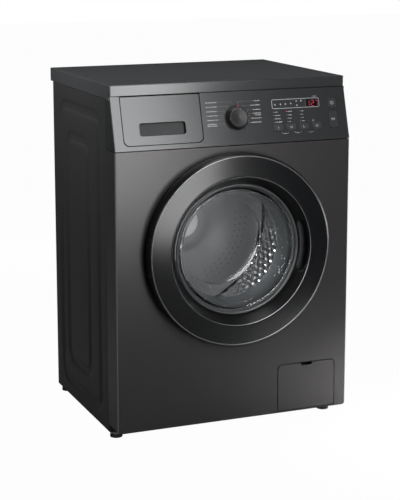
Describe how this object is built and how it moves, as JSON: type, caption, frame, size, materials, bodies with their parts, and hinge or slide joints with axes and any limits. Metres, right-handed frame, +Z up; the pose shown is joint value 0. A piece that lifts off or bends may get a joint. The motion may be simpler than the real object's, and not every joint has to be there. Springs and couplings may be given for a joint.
{
  "type": "front load washing machine",
  "caption": "Dark grey front load washing machine with a round glass door, detergent drawer, programme dial, push buttons, spinning drum and filter flap.",
  "frame": {"origin": "on the floor under the middle of the machine's whole depth and width", "axes": "+Z up, front towards -Y, +X to the right seen from the front"},
  "size_m": [0.6, 0.54, 0.85],
  "materials": {
    "panel_paint": "satin metallic paint",
    "rear_steel": "galvanised sheet",
    "top_grey": "satin moulded board",
    "fascia_grey": "satin metallic moulding",
    "button_grey": "satin moulding",
    "black_plastic": "moulded",
    "dial_black": "turned face",
    "display_black": "gloss window",
    "door_black": "gloss moulding",
    "bright_trim": "plated",
    "clear_glass": "moulded glass",
    "seal_rubber": "moulded rubber",
    "foot_rubber": "moulded rubber",
    "stainless": "stainless sheet",
    "pale_plastic": "moulded",
    "cast_weight": "as cast",
    "bare_steel": "machined",
    "cast_aluminium": "as cast"
  },
  "bodies": {
    "cabinet": {"base_frame": "black_plastic", "control_board": "black_plastic", "control_panel": "fascia_grey", "dial_ring": "black_plastic", "dispenser_housing": "pale_plastic", "display_window": "display_black", "door_lock": "black_plastic", "drain_pump": "black_plastic", "drive_belt": "seal_rubber", "feet": "foot_rubber", "filter_bay": "black_plastic", "filter_housing": "black_plastic", "foot_lock_nuts": "bare_steel", "front_counterweight": "cast_weight", "front_panel": "panel_paint", "gasket": "seal_rubber", "gasket_clamp": "rear_steel", "heater": "bare_steel", "hinge_bracket": "rear_steel", "hub_bearings": "bare_steel", "inlet_valve": "pale_plastic", "inner_hoses": "seal_rubber", "left_side_panel": "panel_paint", "motor": "cast_aluminium", "rear_cover": "rear_steel", "rear_fittings": "black_plastic", "rear_panel": "rear_steel", "right_side_panel": "panel_paint", "top_plate": "top_grey", "tub_dampers": "bare_steel", "tub_front": "pale_plastic", "tub_rear": "pale_plastic", "tub_springs": "bare_steel", "upper_brace": "rear_steel", "upper_counterweight": "cast_weight"},
    "drum": {"drum_shell": "stainless", "drum_back": "stainless", "drum_lifters": "pale_plastic", "drum_spider": "cast_aluminium", "drum_shaft": "bare_steel", "drum_pulley": "cast_aluminium"},
    "motor_rotor": {"motor_pulley": "bare_steel"},
    "door": {"door_frame": "door_black", "door_inner_frame": "door_black", "door_glass": "clear_glass", "glass_rim": "bright_trim", "hinge_pin": "bare_steel"},
    "latch": {"latch_hook": "black_plastic"},
    "drawer": {"drawer_front": "fascia_grey", "drawer_tray": "pale_plastic", "softener_cap": "pale_plastic"},
    "dial": {"programme_dial": "dial_black"},
    "flap": {"filter_cover": "panel_paint"},
    "plug": {"filter_plug": "pale_plastic"},
    "option_1": {"option_button_1": "button_grey"},
    "option_2": {"option_button_2": "button_grey"},
    "option_3": {"option_button_3": "button_grey"},
    "option_4": {"option_button_4": "button_grey"},
    "power": {"power_button": "button_grey"},
    "start": {"start_button": "button_grey"}
  },
  "joints": [
    {"name": "drum_spin", "type": "hinge", "parent": "cabinet", "child": "drum", "pos_m": [0, 0, 0.455], "axis": [0, 1, 0], "continuous": true},
    {"name": "motor_spin", "type": "hinge", "parent": "cabinet", "child": "motor_rotor", "pos_m": [-0.095, 0, 0.13159], "axis": [0, 1, 0], "continuous": true},
    {"name": "door_swing", "type": "hinge", "parent": "cabinet", "child": "door", "pos_m": [-0.218, -0.25, 0.455], "axis": [0, 0, -1], "range_deg": [0, 115]},
    {"name": "latch_turn", "type": "hinge", "parent": "door", "child": "latch", "pos_m": [0.209, -0.242, 0.455], "axis": [0, 0, 1], "range_deg": [0, 8], "stiffness_Nm_per_rad": 0.4},
    {"name": "drawer_slide", "type": "slide", "parent": "cabinet", "child": "drawer", "axis": [0, -1, 0], "range_m": [0, 0.185]},
    {"name": "dial_turn", "type": "hinge", "parent": "cabinet", "child": "dial", "pos_m": [0.009, -0.21016, 0.76211], "axis": [0, -0.9596, 0.2815], "continuous": true},
    {"name": "flap_tip", "type": "hinge", "parent": "cabinet", "child": "flap", "pos_m": [0.1914, -0.225, 0.0385], "axis": [1, 0, 0], "range_deg": [0, 90]},
    {"name": "plug_turn", "type": "hinge", "parent": "cabinet", "child": "plug", "pos_m": [0.195, -0.19, 0.095], "axis": [0, -1, 0], "range_deg": [0, 90]},
    {"name": "option_1_press", "type": "slide", "parent": "cabinet", "child": "option_1", "axis": [0, 0.9596, -0.2815], "range_m": [0, 0.0015], "stiffness_N_per_m": 900},
    {"name": "option_2_press", "type": "slide", "parent": "cabinet", "child": "option_2", "axis": [0, 0.9596, -0.2815], "range_m": [0, 0.0015], "stiffness_N_per_m": 900},
    {"name": "option_3_press", "type": "slide", "parent": "cabinet", "child": "option_3", "axis": [0, 0.9596, -0.2815], "range_m": [0, 0.0015], "stiffness_N_per_m": 900},
    {"name": "option_4_press", "type": "slide", "parent": "cabinet", "child": "option_4", "axis": [0, 0.9596, -0.2815], "range_m": [0, 0.0015], "stiffness_N_per_m": 900},
    {"name": "power_press", "type": "slide", "parent": "cabinet", "child": "power", "axis": [0, 0.9596, -0.2815], "range_m": [0, 0.0015], "stiffness_N_per_m": 900},
    {"name": "start_press", "type": "slide", "parent": "cabinet", "child": "start", "axis": [0, 0.9596, -0.2815], "range_m": [0, 0.0015], "stiffness_N_per_m": 900}
  ],
  "couplings": [
    {"joint": "motor_spin", "follows": "drum_spin", "ratio": 12.5}
  ]
}
